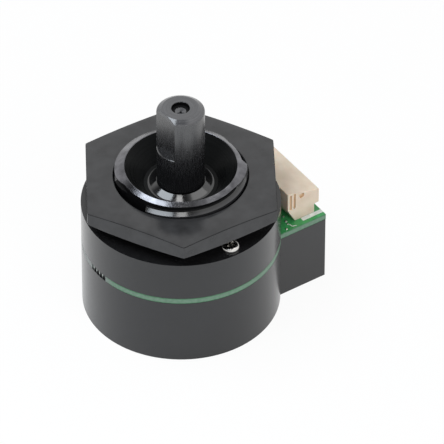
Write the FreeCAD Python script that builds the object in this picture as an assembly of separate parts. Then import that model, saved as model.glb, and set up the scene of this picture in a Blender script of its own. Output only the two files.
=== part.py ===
import FreeCAD, Part
import math
import os

# Panel-mounted optical rotary encoder, in millimetres.
# The origin is on the shaft axis at the panel face, +Z points out along the shaft
# and +X points at the board tab that carries the plug socket.

V = FreeCAD.Vector

# Body
body_d = 25.0
upper_h = 5.425
board_t = 0.8
cover_h = 9.275
wall = 1.2
top_wall = 2.8
floor_t = 1.0

# Board tab and the box under it
tab_out = 4.54
tab_side = 1.19
box_wall = 1.0
box_round = 0.12

# Screws that hold housing, board and cover together
screw_shank_d = 1.4
screw_head_d = 2.25
screw_head_h = 0.85
screw_bite = 4.0
screw_tip_room = 0.5
screw_head_chamfer = 0.35
screw_hole_gap = 0.12
boss_d = 3.4
post_d = 3.2

# Threaded bushing with its bowl
thread_d = 16.6
neck_h = 5.39
pilot_step = 0.05
pilot_l = 1.5
relief_deep = 0.55
relief_w = 0.6
lip_bevel = 0.7
lip_drop = 0.5
lip_w = 0.63
bowl_depth = 2.44
bowl_taper = 0.7
bowl_bevel = 0.8
seat_step = 0.95
flange_step = 0.5
flange_t = 1.2
flange_screw_wall = 0.7
foot_wall = 1.8
foot_l = 0.5

# Panel nut
nut_af = 23.5
nut_t = 2.05
nut_turn = -2.6
nut_chamfer_deg = 8.0
nut_land_in = 0.65
nut_gap = 0.1

# Shaft
shaft_d = 6.0
shaft_reach = 14.95
flat_depth = 0.67
flat_l = 5.95
flat_turn = 2.7
tip_chamfer = 0.5
centre_d = 2.3
centre_deep = 0.6
centre_pilot_d = 0.9
centre_pilot_deep = 1.9
journal_d = 5.0
shaft_tail = 0.3

# Bearings and the parts that hold the shaft in them
bearing_wall = 1.1
bearing_flange_w = 0.8
bearing_flange_t = 0.5
collar_land = 0.4
collar_edge_h = 0.12
upper_bearing_l = 2.7
lower_bearing_l = 2.9
run_gap = 0.02
seat_gap = 0.02
end_play = 0.05
washer_w = 1.7
washer_t = 0.25
ring_w = 2.4
ring_t = 0.5
ring_groove_deep = 0.5
ring_mouth = 3.0
ring_lobe_d = 1.6
ring_lobe_angles = (125, 235)

# Code disc and hub
hub_drop = 1.1
hub_wall = 1.0
hub_ledge = 0.9
hub_flange_t = 1.2
hub_l = 4.7
disc_t = 0.3
disc_rim = 0.5
slot_count = 36
slot_l = 1.3
slot_share = 0.5
track_gap = 0.4
index_l = 0.6
index_w = 0.45
clamp_t = 0.8
grub_d = 2.0
grub_drop = 1.1
grub_socket_af = 0.9
grub_socket_deep = 0.6
grub_angle = 45.0

# Optical head
head_w = 6.8
head_room = 0.7
head_web_t = 1.2
disc_gap_rim = 0.5
disc_gap_above = 0.3
disc_gap_below = 0.6
lower_arm_t = 3.2
sensor_l = 2.1
sensor_w = 4.2
sensor_h = 1.3
pocket_gap = 0.15
mask_l = 2.7
mask_w = 5.2
mask_t = 0.3
window_l = 1.6
window_w = 3.6
slit_count = 5
slit_w = 0.3
lamp_d = 3.0
lamp_wall = 0.55
lead_t = 0.4
lead_pitch = 1.27
lead_stub = 0.5
peg_d = 1.2
peg_stand = 0.45
peg_edge = 1.1
hole_gap = 0.1

# Board
board_bore_d = 10.0
bite_count = 5
bite_d = 0.5
bite_pitch = 0.62

# Parts soldered to the board
chip_l = 3.0
chip_w = 3.0
chip_h = 0.95
chip_room = 0.25
chip_leg_count = 4
chip_leg_pitch = 0.65
chip_leg_w = 0.3
chip_leg_t = 0.18
chip_leg_reach = 0.95
chip_lift = 0.1
small_l = 1.6
small_w = 0.8
resistor_h = 0.45
capacitor_h = 0.8
small_room = 2.6
resistor_angles = (115.0, 130.0, 230.0, 245.0)
capacitor_angles = (50.0, 65.0, 310.0)

# Plug socket on the tab
socket_set_back = 0.29
socket_gap = 0.1
socket_depth = 4.75
socket_end = 2.1
socket_back_h = 4.7
socket_front_h = 3.52
socket_lip_z = 1.4
socket_heel_z = 2.1
socket_heel_in = 1.1
socket_toe_in = 0.7
mouth_wall = 0.4
mouth_depth = 2.7
mouth_end_wall = 0.8
grip_w = 0.3
grip_deep = 0.3
grip_low = 2.0
grip_high = 4.35
grip_in = 0.47
grip_pitch = 0.58
grip_count = 2
dimple_d = 0.75
dimple_in = 2.13
dimple_z = 3.65
way_count = 5
way_pitch = 2.0
pin_t = 0.5
pin_tail_in = 1.75
pin_tip_back = 0.7
pin_tail = 0.9

# Heights worked out from the sizes above
board_top = -upper_h
board_low = board_top - board_t
base_z = board_low - cover_h
thread_low = pilot_l + relief_w
nut_top = thread_low + nut_t
bowl_floor = neck_h - bowl_depth
shaft_shoulder = bowl_floor + bearing_flange_t + end_play
flange_top = flange_t - top_wall
bush_low = -top_wall - foot_l
lower_flange_low = bush_low - bearing_flange_t
washer_top = lower_flange_low - end_play
washer_low = washer_top - washer_t
ring_low = washer_low - ring_t
hub_top = board_low - hub_drop
disc_top = hub_top - hub_flange_t
disc_low = disc_top - disc_t
clamp_low = disc_low - clamp_t
hub_low = hub_top - hub_l
grub_z = hub_low + grub_drop
shaft_low = hub_low - shaft_tail
upper_arm_low = disc_top + disc_gap_above
lower_arm_top = disc_low - disc_gap_below
lower_arm_low = lower_arm_top - lower_arm_t
screw_tip = board_low - screw_bite
screw_room_low = screw_tip - screw_tip_room

# Diameters and radii worked out, the bushing from its thread and the sleeves from the journal
body_r = body_d / 2
cavity_r = body_r - wall
thread_r = thread_d / 2
pilot_r = thread_r + pilot_step
lip_outer_r = thread_r - lip_bevel
lip_inner_r = lip_outer_r - lip_w
bowl_foot_r = lip_inner_r - bowl_taper
seat_r = pilot_r + seat_step
flange_r = seat_r + flange_step
bearing_d = journal_d + 2 * bearing_wall
bearing_flange_d = bearing_d + 2 * bearing_flange_w
foot_d = bearing_d + 2 * foot_wall
ring_groove_d = journal_d - 2 * ring_groove_deep
ring_d = ring_groove_d + 2 * ring_w
hub_spigot_d = journal_d + 2 * hub_wall
hub_flange_d = hub_spigot_d + 2 * hub_ledge

# The screws stand midway between the bushing's seat and the rim of the body
screw_hole_d = screw_shank_d + 2 * screw_hole_gap
screw_pitch_r = (seat_r + body_r) / 2
screw_places = ((0, screw_pitch_r), (0, -screw_pitch_r))
flange_flat_r = screw_pitch_r - screw_hole_d / 2 - flange_screw_wall

# The optical head stands against the wall of the body, and the disc runs in it
head_outer_x = cavity_r - head_room
head_web_x = head_outer_x - head_web_t
disc_r = head_web_x - disc_gap_rim
slot_outer_r = disc_r - disc_rim
slot_inner_r = slot_outer_r - slot_l
optic_r = (slot_inner_r + slot_outer_r) / 2
index_outer_r = slot_inner_r - track_gap
index_inner_r = index_outer_r - index_l
head_inner_x = optic_r - lamp_d / 2 - lamp_wall
peg_x = head_outer_x - peg_edge
peg_y = head_w / 2 - peg_edge
chip_x = cavity_r - chip_room - chip_leg_reach - chip_w / 2
small_r = cavity_r - small_room

# The socket stands at the end of the tab, which is as wide as the socket needs
tab_reach = body_r + tab_out
socket_l = (way_count - 1) * way_pitch + 2 * socket_end
tab_w = socket_l + 2 * tab_side
socket_outer_x = tab_reach - socket_set_back
socket_inner_x = socket_outer_x - socket_depth
pin_tail_x = socket_inner_x + pin_tail_in
clear_x = socket_inner_x - socket_gap


def drum(diameter, low, high, x=0, y=0):
    """Upright round bar."""
    return Part.makeCylinder(diameter / 2, high - low, V(x, y, low))


def tube(inner, outer, low, high):
    """Upright tube on the shaft axis, from its two diameters."""
    return drum(outer, low, high).cut(drum(inner, low, high))


def block(x0, x1, y0, y1, z0, z1):
    """Square block between two corners."""
    return Part.makeBox(x1 - x0, y1 - y0, z1 - z0, V(x0, y0, z0))


def slab(x0, x1, width, z0, z1):
    """Square block centred on the X axis."""
    return block(x0, x1, -width / 2, width / 2, z0, z1)


def outward(solid):
    """The same solid with its faces turned outward."""
    return solid if solid.Volume > 0 else solid.reversed()


def spun(edges):
    """Solid turned about Z from a closed chain of edges in the XZ plane."""
    face = Part.Face(Part.Wire(edges))
    return outward(Part.Solid(face.revolve(V(0, 0, 0), V(0, 0, 1), 360)))


def chain(points):
    """Straight edges through (radius, height) points."""
    spots = [V(r, 0, z) for r, z in points]
    return [Part.LineSegment(a, b).toShape() for a, b in zip(spots, spots[1:])]


def turned(points):
    """Solid turned about Z from a closed outline of (radius, height) points."""
    return spun(chain(list(points) + [points[0]]))


def hexagon(across_flats, low, high, turn):
    """Upright hexagonal bar with a corner at the given angle."""
    reach = across_flats / math.sqrt(3)
    angles = [math.radians(turn + 60 * k) for k in range(7)]
    outline = Part.makePolygon([V(reach * math.cos(a), reach * math.sin(a), low) for a in angles])
    return Part.Face(outline).extrude(V(0, 0, high - low))


def swung(shape, degrees):
    """Copy of a shape turned about the shaft axis."""
    copy = shape.copy()
    copy.rotate(V(0, 0, 0), V(0, 0, 1), degrees)
    return copy


def flange_plate(gap, low, high):
    """Round flange with two flats that keep the bushing from turning."""
    reach = flange_r + gap
    return drum(2 * reach, low, high).common(slab(-reach, reach, 2 * (flange_flat_r + gap), low, high))


def threaded_bushing():
    """Turned neck with panel pilot, thread, lip and bowl, and the flange inside the housing."""
    bore = bearing_d / 2 + seat_gap
    foot = foot_d / 2
    relief_r = thread_r - relief_deep
    neck = turned([
        (bore, bowl_floor),
        (bore, bush_low),
        (foot, bush_low),
        (foot, flange_top),
        (seat_r, flange_top),
        (seat_r, 0),
        (pilot_r, 0),
        (pilot_r, pilot_l),
        (relief_r, pilot_l),
        (relief_r, thread_low),
        (thread_r, thread_low),
        (thread_r, neck_h - lip_drop),
        (lip_outer_r, neck_h),
        (lip_inner_r, neck_h),
        (bowl_foot_r, bowl_floor + bowl_bevel),
        (bowl_foot_r - bowl_bevel, bowl_floor),
    ])
    flange = flange_plate(0, -top_wall, flange_top).cut(drum(foot_d, -top_wall, flange_top))
    return neck.fuse(flange).removeSplitter()


def upper_housing():
    """Turned cap with a thick top, a seat for the bushing, two screw bosses and a flat beside the socket."""
    cap = turned([
        (cavity_r, board_top),
        (body_r, board_top),
        (body_r, 0),
        (seat_r + seat_gap, 0),
        (seat_r + seat_gap, -top_wall),
        (cavity_r, -top_wall),
    ])
    for x, y in screw_places:
        boss = drum(boss_d, board_top, -top_wall, x, y).common(drum(body_d, board_top, -top_wall))
        cap = cap.fuse(boss)
    cap = cap.cut(flange_plate(seat_gap, -top_wall, flange_top))
    cap = cap.cut(slab(clear_x, body_r, body_d, board_top, 0))
    for x, y in screw_places:
        cap = cap.cut(drum(screw_hole_d, board_top, 0, x, y))
    return cap.removeSplitter()


def hex_nut():
    """Thin panel nut, chamfered on its outer face."""
    bar = hexagon(nut_af, thread_low, nut_top, nut_turn)
    land = nut_af / 2 - nut_land_in
    corner = nut_af / math.sqrt(3)
    drop = (corner - land) * math.tan(math.radians(nut_chamfer_deg))
    crown = turned([
        (0, thread_low),
        (corner, thread_low),
        (corner, nut_top - drop),
        (land, nut_top),
        (0, nut_top),
    ])
    return bar.common(crown).cut(drum(thread_d + 2 * nut_gap, thread_low, nut_top))


def housing_screw(x, y):
    """Pan-head screw that reaches into a post of the cover."""
    head = screw_head_d / 2
    screw = turned([
        (0, screw_tip),
        (screw_shank_d / 2, screw_tip),
        (screw_shank_d / 2, 0),
        (head, 0),
        (head, screw_head_h - screw_head_chamfer),
        (head - screw_head_chamfer, screw_head_h),
        (0, screw_head_h),
    ])
    screw.translate(V(x, y, 0))
    return screw


def shaft():
    """Turned shaft with knob end, shoulder, journal and clip groove, and a flat for the knob's screw."""
    journal = journal_d / 2
    knob = shaft_d / 2
    groove = ring_groove_d / 2
    cone_deep = centre_deep + (centre_d - centre_pilot_d) / 2
    bar = turned([
        (0, shaft_low),
        (journal, shaft_low),
        (journal, ring_low - seat_gap),
        (groove, ring_low - seat_gap),
        (groove, washer_low + seat_gap),
        (journal, washer_low + seat_gap),
        (journal, shaft_shoulder),
        (knob, shaft_shoulder),
        (knob, shaft_reach - tip_chamfer),
        (knob - tip_chamfer, shaft_reach),
        (centre_d / 2, shaft_reach),
        (centre_d / 2, shaft_reach - centre_deep),
        (centre_pilot_d / 2, shaft_reach - cone_deep),
        (centre_pilot_d / 2, shaft_reach - centre_pilot_deep),
        (0, shaft_reach - centre_pilot_deep),
    ])
    waste = slab(-shaft_d, flat_depth - knob, shaft_d, shaft_reach - flat_l, shaft_reach)
    return bar.cut(swung(waste, flat_turn))


def upper_bearing():
    """Sleeve whose sloped collar lies on the floor of the bowl and carries the shaft's shoulder."""
    bore = journal_d / 2 + run_gap
    top = bowl_floor + bearing_flange_t
    return turned([
        (bore, bowl_floor - upper_bearing_l),
        (bearing_d / 2, bowl_floor - upper_bearing_l),
        (bearing_d / 2, bowl_floor),
        (bearing_flange_d / 2, bowl_floor),
        (bearing_flange_d / 2, bowl_floor + collar_edge_h),
        (shaft_d / 2 + collar_land, top),
        (bore, top),
    ])


def lower_bearing():
    """Flanged sleeve under the bushing's foot."""
    bore = journal_d / 2 + run_gap
    top = bush_low + lower_bearing_l
    return turned([
        (bore, lower_flange_low),
        (bearing_flange_d / 2, lower_flange_low),
        (bearing_flange_d / 2, bush_low),
        (bearing_d / 2, bush_low),
        (bearing_d / 2, top),
        (bore, top),
    ])


def thrust_washer():
    """Thin washer between the lower bearing and the clip."""
    return tube(journal_d + 2 * seat_gap, journal_d + 2 * washer_w, washer_low, washer_top)


def retaining_ring():
    """Clip pushed sideways into the shaft's groove, open on one side with two relief lobes."""
    inner = ring_groove_d + 2 * seat_gap
    clip = tube(inner, ring_d, ring_low, washer_low)
    clip = clip.cut(slab(0, ring_d, ring_mouth, ring_low, washer_low))
    for angle in ring_lobe_angles:
        lobe = drum(ring_lobe_d, ring_low, washer_low, inner / 2 + ring_lobe_d / 4)
        clip = clip.cut(swung(lobe, angle))
    return clip


def grub_hole():
    """Radial hole through one side of the hub, where the grub screw sits."""
    radius = grub_d / 2 + seat_gap
    return swung(Part.makeCylinder(radius, hub_spigot_d, V(0, 0, grub_z), V(1, 0, 0)), grub_angle)


def disc_hub():
    """Hub fixed on the shaft, with a flange over the disc and a spigot through it."""
    flange = drum(hub_flange_d, disc_top, hub_top)
    spigot = drum(hub_spigot_d, hub_low, disc_top)
    hub = flange.fuse(spigot).removeSplitter().cut(drum(journal_d + 2 * seat_gap, hub_low, hub_top))
    return hub.cut(grub_hole())


def hub_grub_screw():
    """Headless screw that bears on the shaft, with a hexagon socket."""
    rim = hub_spigot_d / 2
    body = Part.makeCylinder(grub_d / 2, rim, V(0, 0, grub_z), V(1, 0, 0))
    body = body.cut(drum(journal_d, grub_z - grub_d, grub_z + grub_d))
    socket = hexagon(grub_socket_af, 0, grub_socket_deep, 0)
    socket.rotate(V(0, 0, 0), V(0, 1, 0), 90)
    socket.translate(V(rim - grub_socket_deep, 0, grub_z))
    return swung(body.cut(socket), grub_angle)


def slot_wire(inner, outer, inner_half, outer_half, degrees):
    """Closed outline of one radial slot, lying on the disc's lower face."""
    corners = [(inner, -inner_half), (outer, -outer_half), (outer, outer_half), (inner, inner_half)]
    wire = Part.makePolygon([V(x, y, disc_low) for x, y in corners + corners[:1]])
    return swung(wire, degrees)


def code_disc():
    """Thin disc with a ring of radial slots and one index slot."""
    half_angle = math.pi * slot_share / slot_count
    rims = (disc_r, hub_spigot_d / 2 + seat_gap)
    wires = [Part.Wire(Part.makeCircle(r, V(0, 0, disc_low))) for r in rims]
    inner_half = slot_inner_r * math.tan(half_angle)
    outer_half = slot_outer_r * math.tan(half_angle)
    for k in range(slot_count):
        wires.append(slot_wire(slot_inner_r, slot_outer_r, inner_half, outer_half, 360 * k / slot_count))
    wires.append(slot_wire(index_inner_r, index_outer_r, index_w / 2, index_w / 2, 180))
    face = Part.makeFace(wires, "Part::FaceMakerBullseye")
    return face.extrude(V(0, 0, disc_t))


def disc_clamp_ring():
    """Ring pressed on the hub's spigot that holds the disc to the flange."""
    return tube(hub_spigot_d + 2 * seat_gap, hub_flange_d, clamp_low, disc_low)


def mask_box(gap, top):
    """Seat of the mask in the underside of the upper arm."""
    half = mask_l / 2 + gap
    return slab(-optic_r - half, -optic_r + half, mask_w + 2 * gap, upper_arm_low, top)


def optical_head():
    """Moulded fork around the disc's rim, pegged to the board, with pockets for sensor, mask and lamp."""
    fork = slab(-head_outer_x, -head_inner_x, head_w, lower_arm_low, board_low)
    fork = fork.cut(slab(-head_web_x, 0, head_w, lower_arm_top, upper_arm_low))
    half = sensor_l / 2 + pocket_gap
    pocket_low = board_low - sensor_h - pocket_gap
    pocket = slab(-optic_r - half, -optic_r + half, sensor_w + 2 * pocket_gap, pocket_low, board_low)
    window = slab(-optic_r - window_l / 2, -optic_r + window_l / 2, window_w, upper_arm_low, board_low)
    fork = fork.cut(pocket).cut(window).cut(mask_box(seat_gap, upper_arm_low + mask_t))
    fork = fork.cut(drum(lamp_d + 2 * seat_gap, lower_arm_low, lower_arm_top, -optic_r))
    for y in (-peg_y, peg_y):
        fork = fork.fuse(drum(peg_d, board_low, board_top + peg_stand, -peg_x, y))
    return fork.removeSplitter()


def photo_sensor():
    """Sensor chip under the board."""
    half = sensor_l / 2
    return slab(-optic_r - half, -optic_r + half, sensor_w, board_low - sensor_h, board_low)


def optical_mask():
    """Thin plate with a row of slits in front of the sensor."""
    plate = mask_box(0, upper_arm_low + mask_t)
    step = 2 * math.pi * optic_r / slot_count
    for k in range(slit_count):
        y = (k - (slit_count - 1) / 2) * step / 2
        half = window_l / 2
        slit = block(-half, half, -slit_w / 2, slit_w / 2, upper_arm_low, upper_arm_low + mask_t)
        slit.translate(V(-optic_r, y, 0))
        plate = plate.cut(slit)
    return plate


def lamp():
    """Flat-lensed lamp that shines up through the disc."""
    return drum(lamp_d, lower_arm_low, lower_arm_top, -optic_r)


def lamp_lead(y):
    """Bent wire from under the lamp, up the back of the fork and through the board."""
    low = lower_arm_low - lead_t
    back = -head_outer_x - lead_t
    foot = slab(back, -optic_r + lead_t / 2, lead_t, low, lower_arm_low)
    riser = slab(back, -head_outer_x, lead_t, low, board_top + lead_stub)
    lead = foot.fuse(riser).removeSplitter()
    lead.translate(V(0, y, 0))
    return lead


def lead_rows():
    """Sideways places of the lamp's two leads."""
    return (-lead_pitch / 2, lead_pitch / 2)


def way_rows():
    """Sideways places of the socket's pins."""
    return [(k - (way_count - 1) / 2) * way_pitch for k in range(way_count)]


def square_hole(x, y, width):
    """Square hole through the board for a pin or a lead."""
    half = width / 2
    return block(x - half, x + half, y - half, y + half, board_low, board_top)


def main_board():
    """Board between housing and cover, with the tab, its holes and the scallops where it broke away."""
    disc = drum(body_d, board_low, board_top)
    board = disc.fuse(slab(0, tab_reach, tab_w, board_low, board_top)).removeSplitter()
    holes = [drum(board_bore_d, board_low, board_top)]
    for x, y in screw_places:
        holes.append(drum(screw_hole_d, board_low, board_top, x, y))
    for y in (-peg_y, peg_y):
        holes.append(drum(peg_d + hole_gap, board_low, board_top, -peg_x, y))
    for y in lead_rows():
        holes.append(square_hole(-head_outer_x - lead_t / 2, y, lead_t + hole_gap))
    for y in way_rows():
        holes.append(square_hole(pin_tail_x, y, pin_t + hole_gap))
    for k in range(bite_count):
        step = math.degrees(bite_pitch / body_r) * (k - (bite_count - 1) / 2)
        holes.append(swung(drum(bite_d, board_low, board_top, -body_r), step))
    return board.cut(Part.Compound(holes))


def signal_chip():
    """Chip that shapes the signals, with a row of bent legs on each side."""
    low = board_top + chip_lift
    body = slab(chip_x - chip_w / 2, chip_x + chip_w / 2, chip_l, low, low + chip_h)
    knee = board_top + chip_h / 2
    for k in range(chip_leg_count):
        y = (k - (chip_leg_count - 1) / 2) * chip_leg_pitch
        for side in (-1, 1):
            root = side * chip_w / 2
            elbow = root + side * chip_leg_reach / 2
            toe = root + side * chip_leg_reach
            shoulder = (min(root, elbow), max(root, elbow), knee, knee + chip_leg_t)
            shin_in = elbow - side * chip_leg_t
            shin = (min(shin_in, elbow), max(shin_in, elbow), board_top, knee + chip_leg_t)
            foot = (min(shin_in, toe), max(shin_in, toe), board_top, board_top + chip_leg_t)
            for x0, x1, z0, z1 in (shoulder, shin, foot):
                half = chip_leg_w / 2
                body = body.fuse(block(chip_x + x0, chip_x + x1, y - half, y + half, z0, z1))
    return body.removeSplitter()


def small_parts(angles, height):
    """Small two-ended parts standing in a ring on the board's upper face."""
    half = small_w / 2
    piece = slab(small_r - half, small_r + half, small_l, board_top, board_top + height)
    return [swung(piece, angle) for angle in angles]


def socket_pin(y):
    """Square pin bent from the mouth down through the board."""
    level = board_top + (socket_lip_z + socket_front_h) / 2
    half = pin_t / 2
    blade = slab(pin_tail_x - half, socket_outer_x - pin_tip_back, pin_t, level - half, level + half)
    tail = slab(pin_tail_x - half, pin_tail_x + half, pin_t, board_low - pin_tail, level + half)
    pin = blade.fuse(tail).removeSplitter()
    pin.translate(V(0, y, 0))
    return pin


def socket_shell():
    """Moulded socket with a cut-back heel, a sloping top and a mouth that opens at the tab's end."""
    heel_x = socket_inner_x + socket_heel_in
    toe_x = socket_outer_x - socket_toe_in
    outline = [
        (heel_x, 0),
        (toe_x, 0),
        (toe_x, socket_lip_z),
        (socket_outer_x, socket_lip_z),
        (socket_outer_x, socket_front_h),
        (socket_inner_x, socket_back_h),
        (socket_inner_x, socket_heel_z),
    ]
    half = socket_l / 2
    wire = Part.makePolygon([V(x, -half, board_top + z) for x, z in outline + outline[:1]])
    shell = Part.Face(wire).extrude(V(0, socket_l, 0))
    mouth_low = board_top + socket_lip_z + mouth_wall
    mouth_high = board_top + socket_front_h - mouth_wall
    mouth_w = socket_l - 2 * mouth_end_wall
    mouth = slab(socket_outer_x - mouth_depth, socket_outer_x, mouth_w, mouth_low, mouth_high)
    shell = shell.cut(mouth)
    for side in (-1, 1):
        edges = sorted((side * half, side * (half - grip_deep)))
        for k in range(grip_count):
            x = socket_inner_x + grip_in + k * grip_pitch
            sides = (x - grip_w / 2, x + grip_w / 2)
            shell = shell.cut(block(*sides, *edges, board_top + grip_low, board_top + grip_high))
        spot = V(socket_inner_x + dimple_in, edges[0], board_top + dimple_z)
        shell = shell.cut(Part.makeCylinder(dimple_d / 2, grip_deep, spot, V(0, 1, 0)))
    return shell.cut(Part.Compound([socket_pin(y) for y in way_rows()]))


def lower_cover():
    """Moulded cup with a box under the tab and a post under each screw."""
    cup = drum(body_d, base_z, board_low)
    box = slab(0, tab_reach, tab_w, base_z, board_low)
    corners = [e for e in box.Edges if e.BoundBox.XMin > tab_reach / 2 and e.BoundBox.ZMin < board_low]
    box = box.makeFillet(box_round, corners)
    floor_top = base_z + floor_t
    inside = drum(2 * cavity_r, floor_top, board_low)
    inside = inside.fuse(slab(0, tab_reach - box_wall, tab_w - 2 * box_wall, floor_top, board_low))
    cover = cup.fuse(box).cut(inside)
    for x, y in screw_places:
        post = drum(post_d, floor_top, board_low, x, y).common(drum(body_d, floor_top, board_low))
        cover = cover.fuse(post)
    for x, y in screw_places:
        cover = cover.cut(drum(screw_shank_d + 2 * seat_gap, screw_room_low, board_low, x, y))
    return cover.removeSplitter()


def together(solids):
    """Several separate solids of one node."""
    return Part.Compound(solids)


nodes = {
    "upper_housing": upper_housing(),
    "threaded_bushing": threaded_bushing(),
    "hex_nut": hex_nut(),
    "housing_screws": together([housing_screw(x, y) for x, y in screw_places]),
    "shaft": shaft(),
    "upper_bearing": upper_bearing(),
    "lower_bearing": lower_bearing(),
    "thrust_washer": thrust_washer(),
    "retaining_ring": retaining_ring(),
    "disc_hub": disc_hub(),
    "hub_grub_screw": hub_grub_screw(),
    "code_disc": code_disc(),
    "disc_clamp_ring": disc_clamp_ring(),
    "optical_head": optical_head(),
    "photo_sensor": photo_sensor(),
    "optical_mask": optical_mask(),
    "lamp": lamp(),
    "lamp_leads": together([lamp_lead(y) for y in lead_rows()]),
    "main_board": main_board(),
    "signal_chip": signal_chip(),
    "chip_resistors": together(small_parts(resistor_angles, resistor_h)),
    "chip_capacitors": together(small_parts(capacitor_angles, capacitor_h)),
    "socket_shell": socket_shell(),
    "socket_pins": together([socket_pin(y) for y in way_rows()]),
    "lower_cover": lower_cover(),
}

os.makedirs("parts", exist_ok=True)
for name, shape in nodes.items():
    shape.exportStep("parts/" + name + ".step")
    print(name, len(shape.Solids), shape.isValid(), round(shape.Volume, 2))
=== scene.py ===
import math

import bmesh
import bpy
from mathutils import Matrix, Quaternion, Vector


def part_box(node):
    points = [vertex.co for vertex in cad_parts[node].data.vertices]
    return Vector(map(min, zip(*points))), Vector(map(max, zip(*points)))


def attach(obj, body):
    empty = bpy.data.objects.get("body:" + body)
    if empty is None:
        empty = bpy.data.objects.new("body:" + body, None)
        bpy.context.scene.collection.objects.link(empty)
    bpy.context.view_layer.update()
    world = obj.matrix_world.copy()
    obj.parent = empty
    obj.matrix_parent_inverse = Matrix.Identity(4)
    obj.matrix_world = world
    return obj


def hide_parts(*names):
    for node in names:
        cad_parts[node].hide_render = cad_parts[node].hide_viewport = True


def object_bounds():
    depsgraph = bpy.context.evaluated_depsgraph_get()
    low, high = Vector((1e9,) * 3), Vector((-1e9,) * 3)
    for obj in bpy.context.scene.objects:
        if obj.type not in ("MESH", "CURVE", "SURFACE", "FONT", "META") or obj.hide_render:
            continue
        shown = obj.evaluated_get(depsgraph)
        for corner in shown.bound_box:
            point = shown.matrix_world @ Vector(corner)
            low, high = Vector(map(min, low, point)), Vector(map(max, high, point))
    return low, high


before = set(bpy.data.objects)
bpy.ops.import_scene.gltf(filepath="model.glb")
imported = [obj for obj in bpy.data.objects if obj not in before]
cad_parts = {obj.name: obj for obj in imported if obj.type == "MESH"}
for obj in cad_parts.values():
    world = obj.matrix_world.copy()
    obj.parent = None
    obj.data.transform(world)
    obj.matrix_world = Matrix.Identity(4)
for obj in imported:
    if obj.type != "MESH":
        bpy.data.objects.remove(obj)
cad_low, cad_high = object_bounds()
scene = bpy.context.scene
scene.view_settings.view_transform = "Standard"

# Sizes are in millimetres here, and become metres where a mesh or a lamp is made
MM = 0.001
TURN = 2 * math.pi

# Camera
camera_at = Vector((-337.61, -500.52, 517.39))
camera_aim = Vector((4.293, -2.896, -3.738))
camera_roll_deg = 0.074
camera_lens = 517.42
camera_sensor = 36.0
camera_reach = 20000.0
photo_pixels = 444
half_pixel = 0.5 / photo_pixels

# Threaded bushing
bushing_sides = 300
lip_inner_r = 7.0
lip_rise = 0.41
lip_drop = 0.82
lip_round = 0.08
lip_round_steps = 5
lip_guard = 0.02
cone_slack = 0.003
thread_r = 8.3
thread_pitch = 1.5
thread_depth = 0.6
thread_front_deg = 236.0
thread_front_z = 4.865
thread_fade_from = 5.1
thread_fade_to = 5.27
thread_step = 0.0125
thread_hidden = 4.0
hidden_step = 0.1
blunt_from = 4.53
blunt_to = 4.6
# Painted shade in the thread's groove: a radius inside which its faces turn near black, and two insets from
# the crest over which the thread's colour darkens
groove_shade_r = 7.83
groove_shade_in = 0.3
groove_unshaded_in = 0.1
# Distance from the middle of the groove, and share of the full depth there
groove_profile = [(-0.535, 0.0), (-0.16, 0.8), (0.1, 1.0), (0.37, 1.0), (0.525, 0.0)]
# Gaps in the upper turn of the thread: start, ramp in, width and ramp out, in degrees
thread_gaps = [(333.0, 4.0, 45.0, 14.0), (152.0, 25.0, 52.0, 2.0)]
gap_low = 3.4
# Share of a gap's cut above which a face of the upper turn takes painted shade
gap_shade_share = 0.02
relief_r = 7.75
relief_w = 0.6
pilot_r = 8.35
pilot_top = 1.5
seat_r = 9.3
flange_r = 9.8
flange_flat = 9.38
flange_top = -1.6
foot_r = 5.4
foot_h = 0.5
bowl_depth = 2.44
bowl_foot_r = 6.7
bowl_round = 2.4
bowl_round_steps = 16
bearing_r = 3.62

# Panel nut
nut_sides = 240
nut_turn_deg = -2.6
nut_land_in = 0.65
nut_chamfer_deg = 8.0
nut_under_deg = 10.0
nut_edge = 0.05
nut_edge_bow = 0.3
# Width of the band on the upper edge that takes a painted dark reflection, as a share of the edge rounding
nut_edge_slack = 1.1
nut_corner_trim = 0.03
nut_bore_r = 8.4
nut_bore_chamfer = 0.1
nut_thread_share = 0.8

# Shaft
shaft_sides = 240
shaft_r = 3.0
journal_r = 2.5
flat_depth = 0.67
flat_length = 6.23
flat_turn_deg = 2.7
flat_edge = 0.09
tip_in = 0.7
tip_tilt_deg = 33.0
tip_round = 0.25
tip_round_steps = 12
tip_cone_steps = 16
centre_r = 1.15
centre_edge = 0.05
centre_deep = 0.5
centre_foot_r = 0.7
centre_foot_deep = 0.56
pilot_hole_r = 0.15
pilot_hole_top = 0.72
pilot_hole_deep = 1.9
shoulder_gap = 0.05
shoulder_chamfer = 0.15
clip_groove_r = 2.0
clip_groove_low = -4.62
clip_groove_top = -4.08
tail_chamfer = 0.1

# Bearing collar
collar_sides = 160
collar_r = 4.15
collar_top_r = 3.06
collar_tilt_deg = 27.0
collar_foot_round = 0.7
collar_foot_steps = 8
collar_bore_r = 2.52
collar_lift = 0.01
sleeve_r = 3.6

# Board: strips as two ends and a width, solder spots as a place and a radius. The first strip is a painted
# reflection on the board beside the socket's end; the other two are print.
print_and_reflection_strips = [((13.95, -6.43), (17.0, -6.43), 0.6), ((12.13, -6.33), (12.23, -6.86), 0.13),
                ((12.2, -6.82), (12.75, -6.98), 0.13)]
strip_thick = 0.02
solder_spots = [(12.36, -4.65, 0.16), (12.1, -5.6, 0.2), (11.98, -6.12, 0.15), (11.3, -6.85, 0.17)]
solder_sides = 20
solder_steps = 5
solder_end_deg = 8.0
solder_squash = 0.6
scallop_deg = 6.0
scallop_fade_deg = 7.0
# Radius inside which the walls of the scallops' pockets take painted shade
scallop_rim = 12.42
face_upright = 0.9
laminate_half = 0.2
border_half = 0.36

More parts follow.
